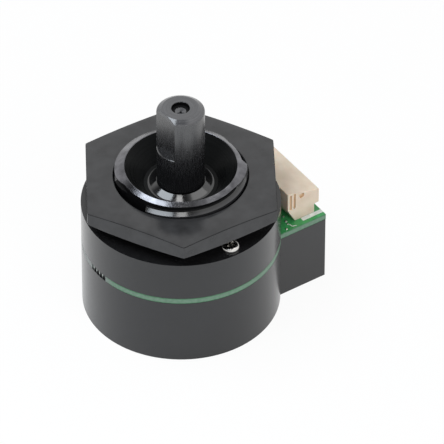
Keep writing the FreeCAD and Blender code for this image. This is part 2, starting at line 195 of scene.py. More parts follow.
# Cap screws
screw_sides = 64
screw_head_r = 1.125
screw_head_h = 0.52
screw_head_foot = 0.06
screw_shank_r = 0.7
screw_point_in = 0.2
screw_point_h = 0.3
screw_round = 0.4
screw_round_steps = 8
screw_cross_w = 0.3
screw_cross_l = 1.2
screw_cross_deep = 0.3
screw_cross_taper = 0.8
screw_cross_turn_deg = 24.0

# Edge rounding of the pieces that keep the CAD shapes
housing_edge = 0.06
cover_edge = 0.08
board_edge = 0.03
socket_edge = 0.05
socket_shortest = 0.3
pin_edge = 0.05
sharp_deg = 30.0
join_deg = 0.6

# Grips and gate mark of the socket, which take painted shade: how far in from its ends, and the largest face
# in square millimetres
grip_in_least = 0.03
grip_in_most = 0.4
grip_area = 1.0

# Mesh cleaning
weld = 0.0005
cad_weld = 0.001
sliver = 0.0002
tiny = 1e-6

# Surface patterns
noise_low = 0.3
noise_high = 0.7
broad_grain = 12
ring_break = 0.6
streak_length = 14
satin = {"Specular_IOR_Level": 0.62, "Coat_Weight": 0.5, "Coat_IOR": 1.15, "Coat_Roughness": 0.2}

# Stage, with the photograph's left and front
image_left = Vector((-0.829, 0.559, 0))
image_front = Vector((-0.559, -0.829, 0))
upward = Vector((0, 0, 1))
floor_reach = 4000.0
floor_cells = 8
floor_gap = 0.02
floor_paint = 0.9
floor_glow = 0.93
floor_mirror_near = 0.15
floor_mirror_far = 1.0
floor_near_at = 22.0
floor_far_at = -18.0
tent_fill = 0.32

# Dim opening of the tent, overhead and to the left
opening_axis = image_left * 0.45 + image_front * 0.15 + upward * 0.88
opening_from = 0.66
opening_to = 0.8
opening_glow = 0.15

# Lamps
pane_away = 320.0
fill_away = 600.0
pane_white = (1.0, 1.0, 1.0)
pane_cool = (0.86, 0.93, 1.0)


def node_top(node):
    """Height of a CAD node's top in millimetres."""
    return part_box(node)[1].z / MM


def node_low(node):
    """Height of a CAD node's bottom in millimetres."""
    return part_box(node)[0].z / MM


# Heights and sizes that come from the frame
bushing_top = node_top("threaded_bushing")
bowl_floor = bushing_top - bowl_depth
lip_top = bushing_top + lip_rise
lip_slope = (thread_r - lip_inner_r) / lip_drop
thread_end = lip_top - (thread_r - thread_depth - lip_inner_r) / lip_slope
thread_low = pilot_top + relief_w
collar_top_z = node_top("upper_bearing")
nut_corner_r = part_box("hex_nut")[1].x / MM / math.cos(math.radians(nut_turn_deg))
nut_half = nut_corner_r * math.cos(math.radians(30))
shoulder_z = collar_top_z + shoulder_gap
board_top = node_top("main_board")
board_middle = (board_top + node_low("main_board")) / 2
socket_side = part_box("socket_shell")[1].y / MM


# Shader helpers

def linear(red, green, blue):
    """Colour for a shader from its values on a screen, 0 to 255."""
    def convert(value):
        share = value / 255
        return share / 12.92 if share <= 0.04045 else ((share + 0.055) / 1.055) ** 2.4
    return (convert(red), convert(green), convert(blue), 1.0)


def add_node(tree, kind, inputs=None, **settings):
    """Shader node with its settings, and its inputs set or linked."""
    made = tree.nodes.new(kind)
    for key, value in settings.items():
        setattr(made, key, value)
    for key, value in (inputs or {}).items():
        if isinstance(value, bpy.types.NodeSocket):
            tree.links.new(value, made.inputs[key])
        else:
            made.inputs[key].default_value = value
    return made


def calc(tree, operation, *values):
    """Result of a sum or a comparison."""
    return add_node(tree, "ShaderNodeMath", dict(enumerate(values)), operation=operation).outputs[0]


def scaled(tree, place, by):
    """Place scaled along each axis."""
    return add_node(tree, "ShaderNodeVectorMath", {0: place, 1: by}, operation="MULTIPLY").outputs[0]


def along(tree, place, axis):
    """How far a place lies along an axis."""
    made = add_node(tree, "ShaderNodeVectorMath", {0: place, 1: axis}, operation="DOT_PRODUCT")
    return made.outputs["Value"]


def map_range(tree, value, from_low, from_high, low=0.0, high=1.0):
    """Value brought from one range to another, and held within it."""
    return add_node(tree, "ShaderNodeMapRange", {
        "Value": value, "From Min": from_low, "From Max": from_high,
        "To Min": low, "To Max": high}).outputs["Result"]


def mix(tree, share, first, second):
    """Colour between two colours or colour sockets."""
    return add_node(tree, "ShaderNodeMix", {0: share, 6: first, 7: second}, data_type="RGBA").outputs[2]


def object_place(tree):
    """Place on the object, in millimetres."""
    return scaled(tree, add_node(tree, "ShaderNodeTexCoord").outputs["Object"], (1 / MM, 1 / MM, 1 / MM))


def noise(tree, place, scale, detail=2.0, stretch=(1, 1, 1)):
    """Noise with about scale features per millimetre, stretched along the axes."""
    return add_node(tree, "ShaderNodeTexNoise", {
        "Vector": scaled(tree, place, stretch), "Scale": scale, "Detail": detail}).outputs["Fac"]


def ramp(tree, value, first, second):
    """Colour between two screen colours by a noise value."""
    made = add_node(tree, "ShaderNodeValToRGB", {"Fac": value})
    for element, at, colour in zip(made.color_ramp.elements, (noise_low, noise_high), (first, second)):
        element.position = at
        element.color = linear(*colour)
    return made.outputs["Color"]


def bump(tree, height, depth):
    """Surface normal from a height, depth in millimetres."""
    return add_node(tree, "ShaderNodeBump", {
        "Height": height, "Distance": depth * MM, "Strength": 1.0}).outputs["Normal"]


def polar(tree, place):
    """Radius and angle about the shaft axis, and height."""
    parts = add_node(tree, "ShaderNodeSeparateXYZ", {0: place}).outputs
    flat = add_node(tree, "ShaderNodeCombineXYZ", {0: parts[0], 1: parts[1]}).outputs[0]
    radius = add_node(tree, "ShaderNodeVectorMath", {0: flat}, operation="LENGTH").outputs["Value"]
    return radius, calc(tree, "ARCTAN2", parts[1], parts[0]), parts[2]


def ring_noise(tree, place, rings):
    """Noise in rings about the shaft axis, with about as many rings per millimetre, and the radius."""
    radius, angle, height = polar(tree, place)
    unrolled = add_node(tree, "ShaderNodeCombineXYZ", {0: radius, 1: angle, 2: height}).outputs[0]
    return noise(tree, unrolled, 1.0, 2.0, (rings, ring_break, rings)), radius


# Materials

materials = {}


def start_material(name, **sockets):
    """New material: its tree, and its shader with plain values set on the shader's own sockets."""
    made = bpy.data.materials.new(name)
    made.use_nodes = True
    materials[name] = made
    shader = made.node_tree.nodes["Principled BSDF"]
    for key, value in sockets.items():
        shader.inputs[key.replace("_", " ")].default_value = value
    return made.node_tree, shader


def finish_material(tree, shader, colour, value, rough, depth):
    """Colour of a surface, with gloss and relief that follow a noise value."""
    gloss = map_range(tree, value, noise_low, noise_high, *rough)
    tree.links.new(colour, shader.inputs["Base Color"])
    tree.links.new(gloss, shader.inputs["Roughness"])
    tree.links.new(bump(tree, value, depth), shader.inputs["Normal"])


def grained(name, dark, light, rough, grain, depth, **sockets):
    """Moulded or plated surface: fine grain, with colour and gloss that vary a little."""
    tree, shader = start_material(name, **sockets)
    place = object_place(tree)
    fine = noise(tree, place, grain, 3.0)
    broad = noise(tree, place, grain / broad_grain, 2.0)
    finish_material(tree, shader, ramp(tree, broad, dark, light), fine, rough, depth)


def turned(name, dark, light, rough, rings, depth, **sockets):
    """Lathe-turned surface: fine rings about the shaft axis."""
    tree, shader = start_material(name, **sockets)
    ring, _ = ring_noise(tree, object_place(tree), rings)
    finish_material(tree, shader, ramp(tree, ring, dark, light), ring, rough, depth)


def ground(name, dark, light, rough, lines, depth, **sockets):
    """Ground bar: fine streaks along the shaft axis."""
    tree, shader = start_material(name, **sockets)
    streak = noise(tree, object_place(tree), 1.0, 3.0, (lines, lines, lines / streak_length))
    finish_material(tree, shader, ramp(tree, streak, dark, light), streak, rough, depth)


def thread_material():
    """Turned thread, with painted shade that darkens it down in its groove."""
    tree, shader = start_material("thread_black", Specular_IOR_Level=0.8)
    ring, radius = ring_noise(tree, object_place(tree), rings=10)
    crest = ramp(tree, ring, (30, 30, 32), (44, 44, 46))
    outer = map_range(tree, radius, thread_r - groove_shade_in, thread_r - groove_unshaded_in)
    # Painted shade: near black deep in the groove, fading to the crest's own colour near the top of the
    # thread
    colour = mix(tree, outer, linear(7, 7, 8), crest)
    finish_material(tree, shader, colour, ring, rough=(0.12, 0.18), depth=0.001)


def board_material():
    """Green resist on the faces, laminate between green borders on the edges, and broken scallops with
    painted shade in their lower half and their pockets.
    """
    tree, shader = start_material("board_green", Specular_IOR_Level=0.5)
    place = object_place(tree)
    weave = noise(tree, place, 3.0)
    resist = ramp(tree, weave, (50, 142, 76), (66, 160, 94))
    border = ramp(tree, weave, (50, 106, 68), (66, 122, 84))
    laminate = ramp(tree, weave, (90, 124, 102), (108, 140, 118))
    pale = ramp(tree, weave, (112, 118, 115), (126, 132, 129))

    # Angles are counted from the side away from the socket, where the scallops are
    radius, angle, height = polar(tree, scaled(tree, place, (-1, -1, 1)))
    from_middle = calc(tree, "ABSOLUTE", calc(tree, "SUBTRACT", height, board_middle))
    green = mix(tree, map_range(tree, from_middle, laminate_half, border_half), laminate, border)
    half = math.radians(scallop_deg)
    faded = math.radians(scallop_deg + scallop_fade_deg)
    plain = mix(tree, map_range(tree, angle, half, faded, 1.0, 0.0), green, pale)
    # Painted shade: at the scallops the lower half of the edge and the pocket walls inside the rim turn near
    # black; above them the broken laminate keeps its pale colour
    lower = calc(tree, "LESS_THAN", height, board_middle)
    inner = calc(tree, "LESS_THAN", radius, scallop_rim)
    scallop_shade = calc(tree, "MAXIMUM", lower, inner)
    broken = mix(tree, scallop_shade, linear(168, 174, 168), linear(10, 12, 11))
    at_scallops = calc(tree, "LESS_THAN", calc(tree, "ABSOLUTE", angle), half)
    edge = mix(tree, at_scallops, plain, broken)

    normal = add_node(tree, "ShaderNodeTexCoord").outputs["Normal"]
    upright = add_node(tree, "ShaderNodeSeparateXYZ", {0: normal}).outputs[2]
    flat = calc(tree, "GREATER_THAN", calc(tree, "ABSOLUTE", upright), face_upright)
    finish_material(tree, shader, mix(tree, flat, edge, resist), weave, rough=(0.28, 0.42), depth=0.01)


grained("housing_black", (22, 22, 23), (27, 27, 28), rough=(0.20, 0.27), grain=14, depth=0.002, **satin)
grained("cover_black", (22, 22, 24), (27, 27, 29), rough=(0.20, 0.27), grain=14, depth=0.002, **satin)
grained("nut_black", (38, 38, 39), (52, 52, 53), rough=(0.12, 0.2), grain=6, depth=0.005)
turned("bowl_black", (20, 21, 21), (23, 24, 24), rough=(0.24, 0.32), rings=3, depth=0.0004,
       Specular_IOR_Level=0.05)
grained("lip_grey", (86, 86, 89), (122, 122, 126), rough=(0.14, 0.22), grain=9, depth=0.008, Metallic=1.0)
turned("bushing_black", (30, 30, 32), (40, 40, 42), rough=(0.25, 0.35), rings=10, depth=0.003)
thread_material()
ground("shaft_black", (20, 20, 22), (30, 30, 32), rough=(0.2, 0.3), lines=9, depth=0.002, IOR=2.05)
turned("shaft_end", (64, 64, 66), (80, 80, 82), rough=(0.14, 0.2), rings=8, depth=0.001, IOR=1.7)
# Painted shade: near black and barely glossy, for the shaft's centre hole, the groove and gaps of the
# bushing's thread, and a dark line on the nut's upper edge
turned("painted_shade_black", (9, 9, 10), (14, 14, 15), rough=(0.4, 0.5), rings=8, depth=0.002, Specular_IOR_Level=0.1)
turned("collar_black", (12, 12, 13), (16, 16, 17), rough=(0.08, 0.12), rings=3, depth=0.0003,
       Specular_IOR_Level=0.9)
grained("screw_nickel", (196, 194, 190), (228, 226, 222), rough=(0.16, 0.26), grain=20, depth=0.003,
        Metallic=1.0)
grained("clip_steel", (150, 150, 152), (178, 178, 180), rough=(0.28, 0.4), grain=18, depth=0.003,
        Metallic=1.0)
turned("hub_aluminium", (186, 187, 190), (212, 213, 216), rough=(0.25, 0.4), rings=12, depth=0.006,
       Metallic=1.0)
turned("disc_steel", (160, 160, 164), (190, 190, 194), rough=(0.2, 0.32), rings=10, depth=0.002, Metallic=1.0)
grained("head_plastic", (30, 30, 32), (40, 40, 42), rough=(0.45, 0.6), grain=16, depth=0.01)
grained("chip_plastic", (34, 34, 36), (44, 44, 46), rough=(0.5, 0.65), grain=20, depth=0.01)
grained("mask_steel", (140, 140, 144), (166, 166, 170), rough=(0.25, 0.35), grain=18, depth=0.002,
        Metallic=1.0)
grained("lamp_clear", (196, 204, 214), (214, 220, 228), rough=(0.06, 0.12), grain=10, depth=0.002,
        Transmission_Weight=0.8)
grained("tinned_metal", (190, 188, 182), (216, 214, 208), rough=(0.22, 0.36), grain=16, depth=0.004,
        Metallic=1.0)
board_material()
grained("resistor_dark", (36, 36, 40), (50, 50, 54), rough=(0.3, 0.45), grain=20, depth=0.006)
grained("capacitor_tan", (176, 146, 112), (198, 170, 136), rough=(0.4, 0.55), grain=20, depth=0.006)
grained("socket_beige", (214, 196, 174), (226, 210, 190), rough=(0.38, 0.5), grain=8, depth=0.006,
        Subsurface_Weight=0.15, Subsurface_Scale=0.0008)
# Painted shade: a browner beige for the recessed grips and gate mark of the socket's ends
grained("socket_shade_brown", (216, 188, 154), (228, 202, 170), rough=(0.4, 0.5), grain=8, depth=0.004)
# White for the board's print, and for a painted reflection beside the socket
grained("print_and_reflection_white", (206, 212, 206), (228, 232, 228), rough=(0.5, 0.6), grain=20, depth=0.004)


# Mesh helpers

def is_soft(edge, smooth_deg, soft_surface):
    """Whether shading runs smoothly over an edge."""
    if all(face.material_index == soft_surface for face in edge.link_faces):
        return True
    return edge.calc_face_angle(0.0) < math.radians(smooth_deg)


def add_piece(name, bm, body, nodes, surfaces, smooth_deg=32.0, soft_surface=-1):
    """Piece from a mesh that is already in metres: cleaned, shaded, riding on a body."""
    bmesh.ops.remove_doubles(bm, verts=bm.verts, dist=weld * MM)
    bmesh.ops.dissolve_degenerate(bm, edges=bm.edges, dist=sliver * MM)
    bmesh.ops.recalc_face_normals(bm, faces=bm.faces)
    for face in bm.faces:
        face.smooth = True
    for edge in bm.edges:
        edge.smooth = is_soft(edge, smooth_deg, soft_surface)
    mesh = bpy.data.meshes.new(name)
    bm.to_mesh(mesh)
    bm.free()
    for surface in surfaces:
        mesh.materials.append(materials[surface])
    piece = bpy.data.objects.new(name, mesh)
    scene.collection.objects.link(piece)
    even = piece.modifiers.new("even_shading", "WEIGHTED_NORMAL")
    even.mode = "FACE_AREA"
    even.weight = 100
    even.keep_sharp = True
    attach(piece, body)
    if nodes:
        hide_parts(*nodes)


def angles_about(count, start_deg=0.0):
    """Evenly spaced angles, in radians."""
    return [math.radians(start_deg) + TURN * k / count for k in range(count)]


def revolve(bm, bands, angles, centre=(0, 0), closed=True):
    """Skin about an axis, closed or open after its last row.

    A band is a surface and its rows, and a row is (radius, height) or a function of the angle that gives it.
    """
    loops = []
    for surface, rows in bands:
        for row in rows:
            loop = []
            for angle in angles:
                radius, height = row(angle) if callable(row) else row
                spot = (centre[0] + radius * math.cos(angle), centre[1] + radius * math.sin(angle), height)
                loop.append(bm.verts.new(Vector(spot) * MM))
            loops.append((surface, loop))
    count = len(angles)
    for (surface, low), (_, high) in zip(loops, loops[1:] + loops[:1] if closed else loops[1:]):
        for k in range(count):
            face = bm.faces.new((low[k], low[(k + 1) % count], high[(k + 1) % count], high[k]))
            face.material_index = surface
    return loops


def arc(centre, radius, start_deg, end_deg, steps):
    """Points of an arc in the (radius, height) plane."""
    points = []
    for k in range(steps + 1):
        angle = math.radians(start_deg + (end_deg - start_deg) * k / steps)
        points.append((centre[0] + radius * math.cos(angle), centre[1] + radius * math.sin(angle)))
    return points


def stepped(low, high, step):
    """Heights from low up to just under high, about one step apart."""
    count = round((high - low) / step)
    return [low + (high - low) * k / count for k in range(count)]


def softened(name, node, body, surfaces, width, steps=2, shortest=0.0, surface_of=None):
    """Copy of a CAD node with its sharp edges rounded, apart from edges shorter than shortest."""
    bm = bmesh.new()
    bm.from_mesh(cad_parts[node].data)
    bmesh.ops.remove_doubles(bm, verts=bm.verts, dist=cad_weld * MM)
    bmesh.ops.dissolve_limit(bm, angle_limit=math.radians(join_deg), verts=bm.verts, edges=bm.edges)
    sharp = [edge for edge in bm.edges if edge.is_manifold
             and edge.calc_face_angle(0.0) > math.radians(sharp_deg) and edge.calc_length() > shortest * MM]
    bmesh.ops.bevel(bm, geom=sharp, offset=width * MM, segments=steps, profile=0.5, affect="EDGES",
                    clamp_overlap=True)
    for face in bm.faces:
        face.material_index = surface_of(face) if surface_of else 0
    add_piece(name, bm, body, [node], surfaces)


def socket_surface(face):
    """Surface of a face of the socket: the second one, browner for painted shade, in the grips and the gate
    mark of its ends.
    """
    inset = socket_side - abs(face.calc_center_median().y) / MM
    small = face.calc_area() < grip_area * MM * MM
    return 1 if small and grip_in_least < inset < grip_in_most else 0


# Bushing

def cone_r(height):
    """Radius of the lip's cone, which runs out over the thread."""
    return lip_inner_r + (lip_top - height) * lip_slope


def groove_share(offset):
    """How deep the thread is cut at this distance from the middle of its groove, 0 to 1."""
    away = (offset + thread_pitch / 2) % thread_pitch - thread_pitch / 2
    for (low, first), (high, second) in zip(groove_profile, groove_profile[1:]):
        if low <= away <= high:
            return first + (second - first) * (away - low) / (high - low)
    return 0.0


def groove_z(angle):
    """Height of the thread's groove, rising to the right round the neck."""
    return thread_front_z + thread_pitch * (angle - math.radians(thread_front_deg)) / TURN


def gap_share(angle):
    """How far the upper turn is cut away past its blunt ends, 0 to 1."""
    deepest = 0.0
    for start, ramp_in, width, ramp_out in thread_gaps:
        turn = (math.degrees(angle) - start) % 360
        deepest = max(deepest, min(turn / ramp_in, (width - turn) / ramp_out))
    return min(1.0, deepest)


def in_gap(face):
    """Whether a face of the thread lies in a gap of its upper turn."""
    return all(vert.co.z / MM > gap_low and gap_share(math.atan2(vert.co.y, vert.co.x)) > gap_shade_share
               for vert in face.verts)


def thread_cut(angle, height):
    """Depth of the thread's groove at this angle and height, fading out where it meets the mouth."""
    middle = groove_z(angle)
    middle += thread_pitch * round((height - middle) / thread_pitch)
    fade = (thread_fade_to - middle) / (thread_fade_to - thread_fade_from)
    share = groove_share(height - middle)
    if height > middle:
        share = max(share, min(1.0, (middle - blunt_from) / (blunt_to - blunt_from)))
    share *= min(1.0, max(0.0, fade))
    if height > gap_low:
        share = max(share, gap_share(angle))
    return thread_depth * share


def thread_row(height):
    """One row of the thread, cut back by the lip's cone."""
    return lambda angle: (min(thread_r - thread_cut(angle, height), cone_r(height)), height)


def flange_row(height):
    """One row of the flange, with its two flats."""
    return lambda angle: (min(flange_r, flange_flat / max(tiny, abs(math.sin(angle)))), height)


def build_bushing():
    """Neck with thread, lip and bowl, and the flange inside the housing."""
    bowl, lip, plain, thread, dark = range(5)
    low = node_low("threaded_bushing")
    flange_low = low + foot_h
    body_rows = [
        (bearing_r, low), (foot_r, low), (foot_r, flange_low),
        flange_row(flange_low), flange_row(flange_top),
        (seat_r, flange_top), (seat_r, 0), (pilot_r, 0), (pilot_r, pilot_top),
        (relief_r, pilot_top), (relief_r, thread_low),
    ]
    heights = stepped(thread_low, thread_hidden, hidden_step)
    heights += stepped(thread_hidden, thread_end, thread_step)
    thread_rows = [thread_row(height) for height in heights]
    facing = math.atan2(lip_slope, 1)
    edge_z = lip_top - lip_round * (1 + math.cos(facing)) / math.sin(facing)
    cone_z = edge_z + lip_round * math.sin(facing) - lip_guard
    lip_rows = [(thread_r - thread_depth, thread_end), (cone_r(cone_z), cone_z)]
    lip_rows += arc((lip_inner_r + lip_round, edge_z), lip_round, math.degrees(facing), 180, lip_round_steps)
    wall_tilt = math.degrees(math.atan2(lip_inner_r - bowl_foot_r, bushing_top - bowl_floor - bowl_round))
    foot_centre = (bowl_foot_r - bowl_round, bowl_floor + bowl_round)
    bowl_rows = [
        lip_rows[-1],
        *arc(foot_centre, bowl_round, -wall_tilt, -90, bowl_round_steps),
        (bearing_r, bowl_floor),
    ]
    bm = bmesh.new()
    bands = [(plain, body_rows), (thread, thread_rows), (lip, lip_rows), (bowl, bowl_rows)]
    revolve(bm, bands, angles_about(bushing_sides))
    # Faces on the lip's cone take the lip's surface; faces down in the groove and in the gaps of the upper
    # turn take painted shade
    for face in bm.faces:
        if face.material_index != thread:
            continue
        spots = [(vert.co.xy.length / MM, vert.co.z / MM) for vert in face.verts]
        if all(abs(radius - cone_r(height)) < cone_slack for radius, height in spots):
            face.material_index = lip
        elif all(radius < groove_shade_r for radius, height in spots) or in_gap(face):
            face.material_index = dark
    add_piece("bushing", bm, "base", ["threaded_bushing"],
              ["bowl_black", "lip_grey", "bushing_black", "thread_black", "painted_shade_black"],
              smooth_deg=28.0, soft_surface=thread)


# Nut

def hex_r(angle):
    """Radius of the nut's hexagon, with its corners just broken."""
    turned_by = (math.degrees(angle) - nut_turn_deg) % 60 - 30
    corner = nut_half / math.cos(math.radians(30)) - nut_corner_trim
    return min(nut_half / math.cos(math.radians(turned_by)), corner)


def nut_groove_row(height):
    """One row of the nut's own thread, cut outward from its bore."""
    return lambda angle: (
        nut_bore_r + thread_depth * nut_thread_share * groove_share(height - groove_z(angle)), height)


def build_nut():
    """Thin panel nut with a chamfered outer face, broken edges, a painted dark reflection along its upper
    edge, and a thread.
    """
    skin, bore, dark = range(3)
    low = node_low("hex_nut")
    top = node_top("hex_nut")
    land = nut_half - nut_land_in
    tilt = math.tan(math.radians(nut_chamfer_deg))
    under_tilt = math.tan(math.radians(nut_under_deg))
    under = low - (nut_corner_r - land) * under_tilt
    bow = nut_edge * nut_edge_bow
    band = nut_edge * nut_edge_slack

    def lower_edge(inset, rise):
        return lambda angle: (hex_r(angle) - inset, under + (hex_r(angle) - inset - land) * under_tilt + rise)

    def upper_edge(inset, drop):
        return lambda angle: (hex_r(angle) - inset, top - (hex_r(angle) - inset - land) * tilt - drop)

    def on_upper_edge(vert):
        rim = hex_r(math.atan2(vert.co.y, vert.co.x))
        return vert.co.xy.length / MM > rim - band and vert.co.z / MM > top - (rim - land) * tilt - band

    outside = [
        (nut_bore_r + nut_bore_chamfer, under), (land, under),
        lower_edge(nut_edge, 0), lower_edge(bow, bow), lower_edge(0, nut_edge),
        upper_edge(0, nut_edge), upper_edge(bow, bow), upper_edge(nut_edge, 0),
        (land, top),
        (nut_bore_r + nut_bore_chamfer, top), (nut_bore_r, top - nut_bore_chamfer),
    ]
    bore_top = top - nut_bore_chamfer
    bore_low = under + nut_bore_chamfer
    inside = [nut_groove_row(height) for height in reversed(stepped(bore_low, bore_top, hidden_step))]
    bm = bmesh.new()
    revolve(bm, [(skin, outside), (bore, inside)], angles_about(nut_sides, nut_turn_deg))
    # Painted dark reflection: faces on the rounded upper edge take the near-black painted shade surface
    for face in bm.faces:
        if all(on_upper_edge(vert) for vert in face.verts):
            face.material_index = dark
    add_piece("panel_nut", bm, "nut", ["hex_nut"], ["nut_black", "thread_black", "painted_shade_black"],
              smooth_deg=20.0)


# Shaft

def flat_r(angle):
    """Radius of the shaft where its flat is, or its full radius."""
    away = math.cos(angle - math.pi - math.radians(flat_turn_deg))
    reach = shaft_r - flat_depth
    return min(shaft_r, reach / away) if away > 0 else shaft_r


def build_shaft():
    """Shaft with its flat, tip, centre hole, journal and clip groove."""
    side, end, hole = range(3)
    top = node_top("shaft")
    low = node_low("shaft")
    flat_low = top - flat_length

    def step(fall):
        return lambda angle: (max(flat_r(angle), shaft_r - fall), flat_low - flat_edge + fall)

    def cut(spot):
        return lambda angle: (min(flat_r(angle), spot[0]), spot[1])

    body_rows = [
        (0, low), (journal_r - tail_chamfer, low), (journal_r, low + tail_chamfer),
        (journal_r, clip_groove_low), (clip_groove_r, clip_groove_low),
        (clip_groove_r, clip_groove_top), (journal_r, clip_groove_top),
        (journal_r, shoulder_z), (shaft_r - shoulder_chamfer, shoulder_z),
        (shaft_r, shoulder_z + shoulder_chamfer),
        step(0), step(flat_edge / 2), step(flat_edge), cut((shaft_r, flat_low)),
    ]
    tilt = math.radians(tip_tilt_deg)
    round_z = top - (tip_round + math.sin(tilt) * (tip_in - tip_round)) / math.cos(tilt)
    tip_spots = arc((shaft_r - tip_round, round_z), tip_round, 0, 90 - tip_tilt_deg, tip_round_steps)
    cone_foot = Vector(tip_spots[-1])
    cone_top = Vector((shaft_r - tip_in, top))
    tip_spots += [tuple(cone_foot.lerp(cone_top, k / tip_cone_steps)) for k in range(1, tip_cone_steps + 1)]
    tip_rows = [cut(spot) for spot in tip_spots]
    end_rows = [(centre_r + centre_edge, top)]
    wall_rows = [(centre_r, top - centre_edge), (centre_r, top - centre_deep)]
    foot_rows = [(centre_foot_r, top - centre_foot_deep)]
    pilot_rows = [(pilot_hole_r, top - pilot_hole_top),
                  (pilot_hole_r, top - pilot_hole_deep), (0, top - pilot_hole_deep)]
    flat_half = math.acos(1 - flat_depth / shaft_r)
    flat_middle = math.pi + math.radians(flat_turn_deg)
    angles = angles_about(shaft_sides, flat_turn_deg) + [flat_middle - flat_half, flat_middle + flat_half]
    bm = bmesh.new()
    # The centre hole's wall and the pilot hole take the painted shade surface
    bands = [(side, body_rows), (end, tip_rows + end_rows), (hole, wall_rows), (end, foot_rows),
             (hole, pilot_rows)]
    revolve(bm, bands, sorted(angle % TURN for angle in angles))
    add_piece("knob_shaft", bm, "rotor", ["shaft"], ["shaft_black", "shaft_end", "painted_shade_black"],
              smooth_deg=9.0)


def build_collar():
    """Bearing sleeve whose collar flares down to the floor of the bowl."""
    low = node_low("upper_bearing")
    rows = [(collar_bore_r, low), (sleeve_r, low), (sleeve_r, bowl_floor), (collar_r, bowl_floor)]
    rows += arc((collar_r, bowl_floor + collar_lift + collar_foot_round), collar_foot_round,
                270, 270 - collar_tilt_deg, collar_foot_steps)
    rows += [(collar_top_r, collar_top_z), (collar_bore_r, collar_top_z)]
    bm = bmesh.new()
    revolve(bm, [(0, rows)], angles_about(collar_sides))
    add_piece("bearing_collar", bm, "base", ["upper_bearing"], ["collar_black"],
              smooth_deg=20.0)


# Cap screws

def cross_outline(turn_deg):
    """Corners of a cross recess about its own middle, going round."""
    half = screw_cross_w / 2
    reach = screw_cross_l / 2
    turn = Matrix.Rotation(math.radians(turn_deg), 2)
    corners = []
    for k in range(4):
        arm = turn @ Matrix.Rotation(math.radians(90 * k), 2)
        corners += [arm @ Vector((reach, -half)), arm @ Vector((reach, half)), arm @ Vector((half, half))]
    return corners


def build_screws():
    """Pan-head screws with a cross recess, one on each side of the neck."""
    low = node_low("housing_screws")
    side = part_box("housing_screws")[1].y / MM - screw_head_r
    flat_top_r = screw_head_r - screw_round
    recess_z = screw_head_h - screw_cross_deep
    bm = bmesh.new()
    for y in (-side, side):
        rows = [
            (0, low), (screw_shank_r - screw_point_in, low), (screw_shank_r, low + screw_point_h),
            (screw_shank_r, 0), (screw_head_r - screw_head_foot, 0), (screw_head_r, screw_head_foot),
            *arc((flat_top_r, screw_head_h - screw_round), screw_round, 0, 90, screw_round_steps),
        ]
        ring = revolve(bm, [(0, rows)], angles_about(screw_sides), (0, y), closed=False)[-1][1]
        middle = Vector((0, y))
        corners = [middle + spot for spot in cross_outline(screw_cross_turn_deg)]
        mouth = [bm.verts.new(Vector((*spot, screw_head_h)) * MM) for spot in corners]
        foot = [bm.verts.new(Vector((*middle.lerp(spot, screw_cross_taper), recess_z)) * MM)
                for spot in corners]
        rims = [bm.edges.new((mouth[k - 1], mouth[k])) for k in range(len(mouth))]
        rims += [bm.edges.get((ring[k - 1], ring[k])) for k in range(len(ring))]
        bmesh.ops.triangle_fill(bm, use_beauty=True, edges=rims)
        for k in range(len(mouth)):
            bm.faces.new((mouth[k - 1], mouth[k], foot[k], foot[k - 1]))
        bm.faces.new(foot)
    add_piece("cap_screws", bm, "base", ["housing_screws"], ["screw_nickel"])


# Board print and solder

def add_strip(bm, first, second, width):
    """Thin white strip on the board between two spots."""
    run = (Vector(second) - Vector(first)).normalized()
    side = Vector((-run.y, run.x)) * width / 2
    corners = [Vector(first) - side, Vector(second) - side, Vector(second) + side, Vector(first) + side]
    low = [bm.verts.new(Vector((*spot, board_top)) * MM) for spot in corners]
    high = [bm.verts.new(Vector((*spot, board_top + strip_thick)) * MM) for spot in corners]
    bm.faces.new(low[::-1])
    bm.faces.new(high)
    for k in range(4):
        bm.faces.new((low[k - 1], low[k], high[k], high[k - 1]))


def build_print_and_reflection():
    """Painted reflection strip beside the socket, and two short printed lines."""
    bm = bmesh.new()
    for first, second, width in print_and_reflection_strips:
        add_strip(bm, first, second, width)
    add_piece("board_print_and_reflection", bm, "base", [], ["print_and_reflection_white"])


def build_solder():
    """Small solder domes between the housing and the socket."""
    bm = bmesh.new()
    for x, y, radius in solder_spots:
        dome = arc((0, board_top), radius, solder_end_deg, 90 - solder_end_deg, solder_steps)
        rows = [(radius, board_top), *dome, (0, board_top + radius)]
        rows = [(r, board_top + (z - board_top) * solder_squash) for r, z in rows]
        revolve(bm, [(0, rows)], angles_about(solder_sides), (x, y))
    add_piece("solder_dots", bm, "base", [], ["tinned_metal"])


build_bushing()
build_nut()
build_shaft()
build_collar()
build_screws()
build_print_and_reflection()
build_solder()
softened("housing_cap", "upper_housing", "base", ["housing_black"], housing_edge)
softened("cover_cup", "lower_cover", "base", ["cover_black"], cover_edge)
softened("circuit_board", "main_board", "base", ["board_green"], board_edge, steps=1)
softened("plug_socket", "socket_shell", "base", ["socket_beige", "socket_shade_brown"], socket_edge,
         steps=3, shortest=socket_shortest, surface_of=socket_surface)
softened("contact_pins", "socket_pins", "base", ["tinned_metal"], pin_edge)

inner_surfaces = {
    "lower_bearing": "collar_black", "thrust_washer": "clip_steel", "retaining_ring": "clip_steel",
    "disc_hub": "hub_aluminium", "hub_grub_screw": "clip_steel", "code_disc": "disc_steel",
    "disc_clamp_ring": "hub_aluminium", "optical_head": "head_plastic", "photo_sensor": "chip_plastic",
    "optical_mask": "mask_steel", "lamp": "lamp_clear", "lamp_leads": "tinned_metal",
    "signal_chip": "chip_plastic", "chip_resistors": "resistor_dark", "chip_capacitors": "capacitor_tan",
}
for node, surface in inner_surfaces.items():
    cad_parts[node].data.materials.clear()
    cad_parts[node].data.materials.append(materials[surface])


# Stage

